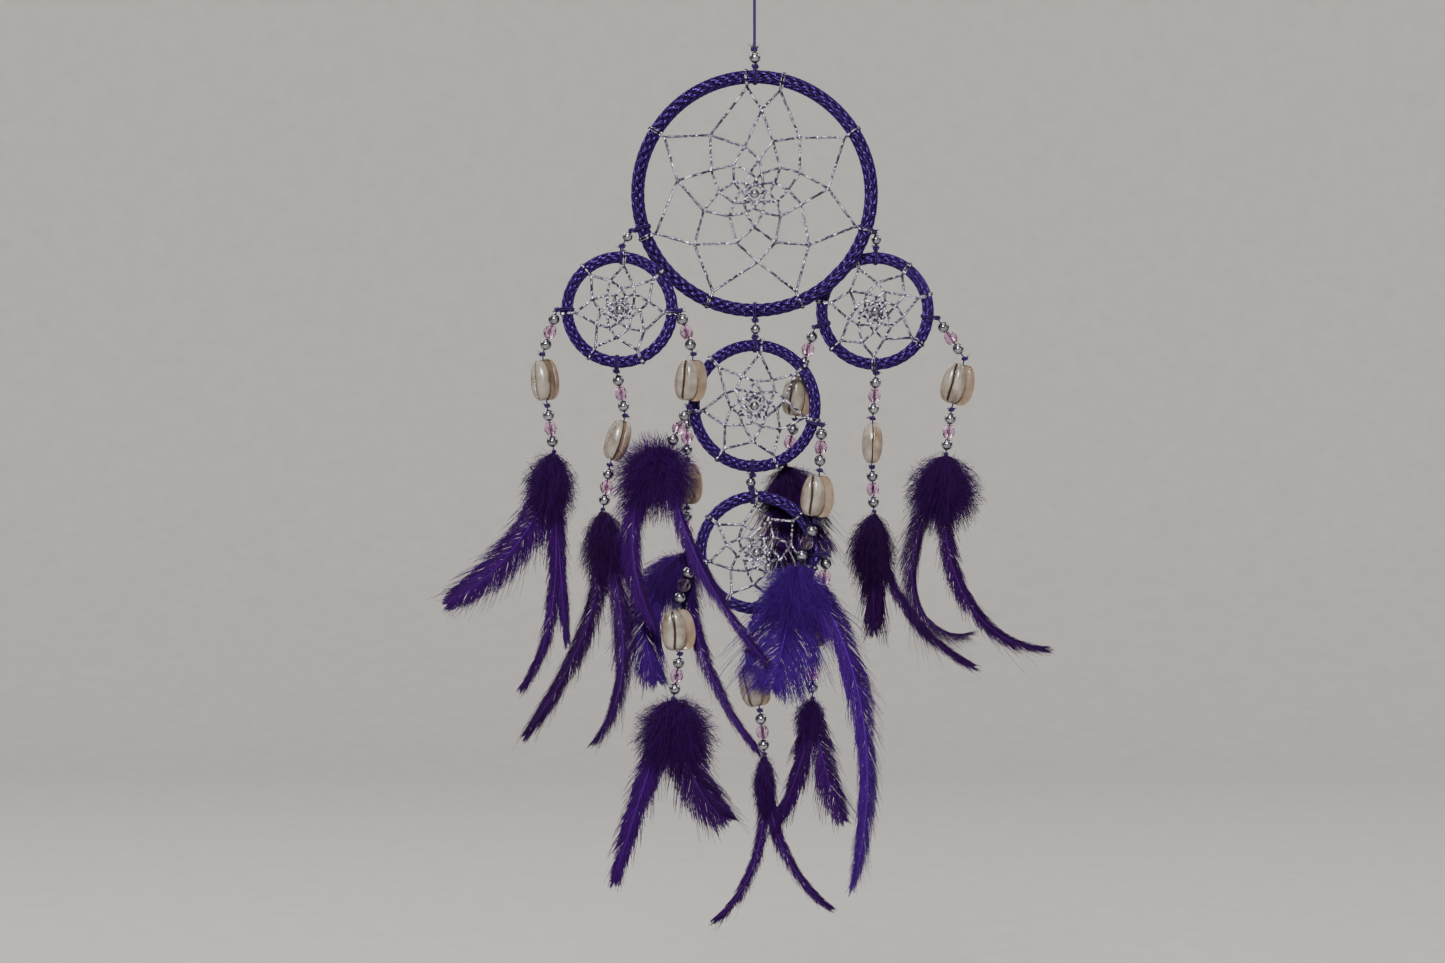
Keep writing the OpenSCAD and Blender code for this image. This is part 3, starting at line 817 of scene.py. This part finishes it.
def cowrie_half(shape, place, axes, rng):
    """A cowrie with its back cut off: a domed face with a toothed slit, and a hollow flat back."""
    rows, cols, back_cols = 88, 56, 10
    tooth_pitch, lip_width, lip_depth, slit_depth, hollow_depth = 1.15, 1.7, 0.55, 1.5, 1.1
    a = np.linspace(0.05, math.pi - 0.05, rows)[:, None]
    half = SHELL_LEN / 2
    z = half * np.cos(a)
    width = SHELL_R * np.sin(a) ** 0.72 * (1 + 0.12 * np.cos(a)) * 0.99
    dome = (SHELL_THICK + 0.1) * (np.sin(a) ** 0.55)
    slit_at = -0.5 + 1.1 * (z / half) ** 2
    t = np.linspace(-1, 1, cols)[None]
    t = np.sign(t) * np.abs(t) ** 1.9
    y = slit_at * (1 - np.abs(t)) * np.sin(a) + width * np.sin(math.pi / 2 * t)
    share = np.clip(np.abs(y) / width, 0, 1)
    x = dome * (1 - share ** 2.4) ** 0.55
    off = np.abs(y - slit_at * np.sin(a))
    ends = np.clip((1 - np.abs(z / half)) / 0.12, 0, 1)
    tooth = 0.5 + 0.5 * np.cos(TURN * z / tooth_pitch + 0.8 * np.sign(t))
    open_to = (0.3 + 0.42 * tooth) * ends
    slit = np.clip(1.3 - off / np.maximum(open_to, 0.05), 0, 1)
    lips = np.exp(-((off / lip_width) ** 2)) * ends
    x = x - np.minimum(lip_depth * lips + slit_depth * slit ** 1.5, x * 0.75)
    front = np.stack([np.broadcast_to(x, y.shape), y, np.broadcast_to(z, y.shape)], -1)
    s = np.cos(math.pi * (np.arange(back_cols) + 1) / (back_cols + 1))[None]
    hollow = np.minimum(hollow_depth * (1 - s ** 2), 0.3 * dome)
    back = np.stack([hollow + 0 * a, width * s, np.broadcast_to(z, (rows, back_cols))], -1)
    points = np.concatenate([front, back], axis=1)
    # painted shade in the slit, which the material paints near black
    painted_slit_shade = np.clip(slit * 1.3, 0, 1) * ends
    rim = np.broadcast_to(share * (0.5 + 0.5 * np.sign(y)), y.shape)
    chance = rng.uniform(0, 1)
    mark = np.concatenate([
        np.stack([np.broadcast_to(painted_slit_shade, y.shape), rim, np.full(y.shape, chance)], -1),
        np.broadcast_to((0.0, 0.9, chance), back.shape)], axis=1)
    total = cols + back_cols
    first = np.arange(total)
    faces = [grid_faces(rows, total)[:, ::-1], first[None], first[None, ::-1] + (rows - 1) * total]
    shape.add(points.reshape(-1, 3) @ axes + place, faces, mark)


def turned_axes(axes, angle):
    """The axes turned about their own Z."""
    c, s = math.cos(angle), math.sin(angle)
    return np.array([c * axes[0] + s * axes[1], -s * axes[0] + c * axes[1], axes[2]])


for name, (plane, turn, knots) in THREADS.items():
    p = [np.array((x, plane, z), float) for x, z in knots]
    rng = np.random.default_rng(len(name) * 13 + round(-p[0][2]))
    silvers, crystals, shells = Shape(), Shape(), Shape()
    for run in (0, 2):
        d = unit(p[run + 1] - p[run])
        axes = axes_along(p[run], p[run + 1])
        mid = (p[run] + p[run + 1]) / 2
        for side in (-1, 1):
            silver_bead(silvers, SILVER_R, mid + side * BEAD_PITCH * d, axes)
        crystal_bead(crystals, mid, turned_axes(axes, rng.uniform(0, 1)))
    axes, mid = axes_along(p[1], p[2]), (p[1] + p[2]) / 2
    for side in (0, 180):
        local = turned_axes(axes, math.radians(turn - 90 + side))
        cowrie_half(shells, mid + GAP * local[0] + SHELL_STEP / 2 * local[1], local, rng)
    charms = [name + "_charms"]
    silvers.object(name + "_silver_beads", silver, name, "silver_bead", charms)
    crystals.object(name + "_pink_beads", crystal, name, "crystal_bead", charms, smooth=False)
    shells.object(name + "_cowries", cowrie, name, "cowrie", charms)

    shape = Shape()
    for point, size, tails in zip(p, (1.25, 1.15, 1.15, 0.9), (2, 2, 2, 0)):
        knot(shape, point, size, rng, tails)
    shape.object(name + "_knots", satin_thread, name, "purple_cord")
    shape = Shape()
    hoop = name.split("_")[0] + "_hoop"
    tie_round(shape, hoop, p[0], rng)
    shape.object(name + "_hoop_loop", satin_thread, hoop, "purple_cord")


# ---------------------------------------------------------------- feathers

def wavy(rng, x, cells):
    """Smooth chance values between -1 and 1 along x from 0 to 1."""
    values = rng.uniform(-1, 1, cells + 2)
    at = np.clip(x, 0, 1) * cells
    i = at.astype(int)
    f = at - i
    f = f * f * (3 - 2 * f)
    return values[i] * (1 - f) + values[i + 1] * f


SOFT_FROM = 12  # the half width from which a feather is a soft plume
SHAFT_R, BARB_R, DOWN_R = 0.34, 0.17, 0.13
BARBS_PER_MM, BARBS_FOR_WIDTH = 7, 0.2  # on each side of the shaft
HAIR_POINTS = 7
STRAY_SHARE, STRAY_REACH = 0.12, 1.5


def hair_marks(rng, s, tone, spread, count):
    """The mark that dyed_feather reads, for count hairs: s is the share along them."""
    chance = rng.uniform(0, 1, count)[:, None]
    return np.stack(np.broadcast_arrays(s, chance, tone + spread * rng.normal(0, 1, count)[:, None]), -1)


def feather(shape, root, spec, rng):
    """A dyed feather: a tapered shaft with two rows of curved barbs that part into locks."""
    length, lean0, lean1, bend, half, depth, tone, broad = spec
    soft = half > SOFT_FROM
    n = 140  # runs of the shaft
    u = (np.arange(n) + 0.5) / n
    lean = np.radians(lean0 + (lean1 - lean0) * u ** bend)
    steps = length / n * np.column_stack([np.sin(lean), 0 * u, -np.cos(lean)])
    stem = root + np.vstack([np.zeros(3), np.cumsum(steps, axis=0)])
    edge = np.linspace(0, 1, n + 1)
    stem[:, 1] += depth * edge
    shape.tube(stem, SHAFT_R * (1 - edge) ** 0.7 + 0.05, mark=(0.9, 0.9, min(1, tone + 0.15)))

    roll = rng.uniform(-0.5, 0.5)
    for side in (-1, 1):
        count = round(length * (BARBS_PER_MM + BARBS_FOR_WIDTH * half))
        at = np.sort(rng.uniform(0.05, 0.995, count))
        base = np.column_stack([np.interp(at, edge, stem[:, k]) for k in range(3)])[:, None]
        way = np.interp(at, u, lean)
        tangent = np.column_stack([np.sin(way), 0 * way, -np.cos(way)])[:, None]
        flat = np.column_stack([np.cos(way), 0 * way, np.sin(way)])[:, None]
        tilt = (roll + 0.35 * wavy(rng, at, 3))[:, None, None]
        across = side * (np.cos(tilt) * flat + np.sin(tilt) * ACROSS)
        normal = np.cross(tangent, across)
        if broad:
            narrowing = np.clip(1 - (np.clip(at - 0.4, 0, 1) / 0.6) ** 2, 0, 1)
            wide = np.minimum(1, at / 0.16) ** 0.6 * narrowing ** 0.8
        else:
            wide = np.minimum(1, at / 0.1) ** 0.5 * (1 - at) ** 0.55 * (1 + 0.15 * wavy(rng, at, 9))
        wide = half * wide + 0.5
        # Degrees between a barb and the shaft, at the quill and at the tip.
        most, least = (75, 40) if soft else (58, 30) if broad else (42, 17)
        open_angle = np.radians(most - (most - least) * at ** 0.6)
        open_angle = open_angle + 0.1 * wavy(rng, at, 14) + rng.normal(0, 0.06, count)
        reach = wide / np.sin(0.75 * open_angle) * rng.uniform(0.8, 1.08, count)
        reach = reach * np.where(rng.uniform(0, 1, count) < STRAY_SHARE, STRAY_REACH, 1)
        # Barbs near the tip don't run far past it.
        reach = np.minimum(reach, ((1 - at) * length * 1.5 + 3) * rng.uniform(0.5, 1, count))
        s = np.linspace(0, 1, HAIR_POINTS)[None]
        angle = open_angle[:, None] * (1 - 0.5 * s)
        step = (reach / (HAIR_POINTS - 1))[:, None]
        forward = np.cumsum(np.cos(angle) * step, axis=1) - np.cos(angle[:, :1]) * step
        outward = np.cumsum(np.sin(angle) * step, axis=1) - np.sin(angle[:, :1]) * step
        cells = max(4, round(length / 9))
        lock = (np.floor(at * cells + 0.8 * wavy(rng, at, cells)) + 0.5) / cells
        forward = forward + ((lock - at) * length * (0.1 if broad else 0.2))[:, None] * s ** 2
        lift = (0.25 * wide * wavy(rng, at, 8) + rng.normal(0, 0.3, count))[:, None] * s ** 1.6
        lift = lift - 0.1 * wide[:, None] * s ** 2
        paths = base + forward[..., None] * tangent + outward[..., None] * across + lift[..., None] * normal
        curl = rng.uniform(0, TURN, (count, 1, 3)) + s[..., None] * rng.uniform(3, 8, (count, 1, 3))
        paths = paths + (1.1 if soft else 0.45) * s[..., None] * np.sin(curl)
        width = BARB_R * (1 - 0.6 * s) * rng.uniform(0.7, 1.2, count)[:, None]
        mark = hair_marks(rng, s, tone, 0.08, count)
        widest = normal * 0.35 + tangent * 0.6 - across * 0.3
        shape.hairs(paths, np.broadcast_to(widest, paths.shape), width, mark)


def fluff(shape, root, spec, rng, count):
    """Soft down at the quills: fine curled hairs that leave the shafts sideways and droop."""
    (dx, dz), reach, tone = spec
    centre = root + np.array((dx, 0, dz))
    way = unit(rng.normal(0, 1, (count, 3)))
    target = centre + way * np.array(reach) * rng.uniform(0.55, 1.08, count)[:, None]
    drop = rng.uniform(0.0, 1.5, count)
    start = root + drop[:, None] * np.array((dx, 0, dz)) * 0.85
    start = start + rng.normal(0, 0.5, (count, 3)) * (1, 0.6, 1)
    control = start + 0.55 * (target - start) * (1, 1, 0.3) + (0, 0, 1.2)
    s = np.linspace(0, 1, HAIR_POINTS)[None, :, None]
    paths = (1 - s) ** 2 * start[:, None] + 2 * s * (1 - s) * control[:, None] + s ** 2 * target[:, None]
    curl = rng.uniform(0, TURN, (count, 1, 3)) + s * rng.uniform(3, 9, (count, 1, 3))
    paths = paths + 1.1 * s * np.sin(curl)
    width = DOWN_R * (1 - 0.6 * s[..., 0]) * rng.uniform(0.7, 1.3, count)[:, None]
    mark = hair_marks(rng, s[..., 0], tone, 0.07, count)
    shape.hairs(paths, np.broadcast_to(rng.normal(0, 1, (count, 1, 3)), paths.shape), width, mark)


DOWN_LEAST, DOWN_PER_AREA, DOWN_MOST = 900, 11, 5200  # hairs of a bundle's fluff
BINDING_R, BINDING_TURNS, BINDING_PITCH = 0.75, 4, 0.42

for index, (name, specs) in enumerate(FEATHERS.items()):
    plane, _, knots = THREADS[name]
    root = np.array((knots[3][0], plane, knots[3][1] - KNOT_R - GAP))
    for k, spec in enumerate(specs):
        rng = np.random.default_rng(100 * index + k)
        shape = Shape()
        feather(shape, root, spec, rng)
        shape.object(f"{name}_feather_{k + 1}", plume, name, "feather", [name + "_feathers"])
    rng = np.random.default_rng(100 * index + 50)
    shape = Shape()
    area = FLUFF[name][1][0] * FLUFF[name][1][2]
    fluff(shape, root, FLUFF[name], rng, min(DOWN_MOST, round(DOWN_LEAST + DOWN_PER_AREA * area)))
    shape.object(name + "_down", plume, name, "feather")
    shape = Shape()
    t = np.linspace(0, BINDING_TURNS * TURN, 70)
    binding = root + np.column_stack([
        BINDING_R * np.cos(t), BINDING_R * np.sin(t), -0.5 - BINDING_PITCH * t / TURN])
    shape.tube(binding, 0.3, 5, (0, 0, 1), mark=(0, 2, 0.5))
    shape.object(name + "_binding", satin_thread, name, "purple_cord")


# ---------------------------------------------------------------- floor

# In metres: a floor that sweeps up into a wall behind the object.
FLOOR_Z, FLOOR_FRONT, FLOOR_HALF, SWEEP_Y, SWEEP_R, WALL_TOP = -0.6, -5, 6, 2.4, 1.4, 3.5
profile = [(FLOOR_FRONT, FLOOR_Z), (SWEEP_Y, FLOOR_Z)]
profile += [
    (SWEEP_Y + SWEEP_R * math.sin(a), FLOOR_Z + SWEEP_R * (1 - math.cos(a)))
    for a in np.linspace(0.1, math.pi / 2, 16)]
profile.append((SWEEP_Y + SWEEP_R, WALL_TOP))
vertices = [(x, y, z) for y, z in profile for x in (-FLOOR_HALF, FLOOR_HALF)]
quads = [(2 * i, 2 * i + 1, 2 * i + 3, 2 * i + 2) for i in range(len(profile) - 1)]
mesh = bpy.data.meshes.new("floor")
mesh.from_pydata(vertices, [], quads)
mesh.polygons.foreach_set("use_smooth", [True] * len(quads))
floor = bpy.data.objects.new("floor", mesh)
bpy.context.scene.collection.objects.link(floor)
pale, add, plug = new_material("pale_floor", Roughness=0.9)
plug("Base Color", ramp(add, noise(add, 40, 3), (0.3, (0.56, 0.53, 0.5)), (0.7, (0.6, 0.57, 0.54))))
mesh.materials.append(pale)
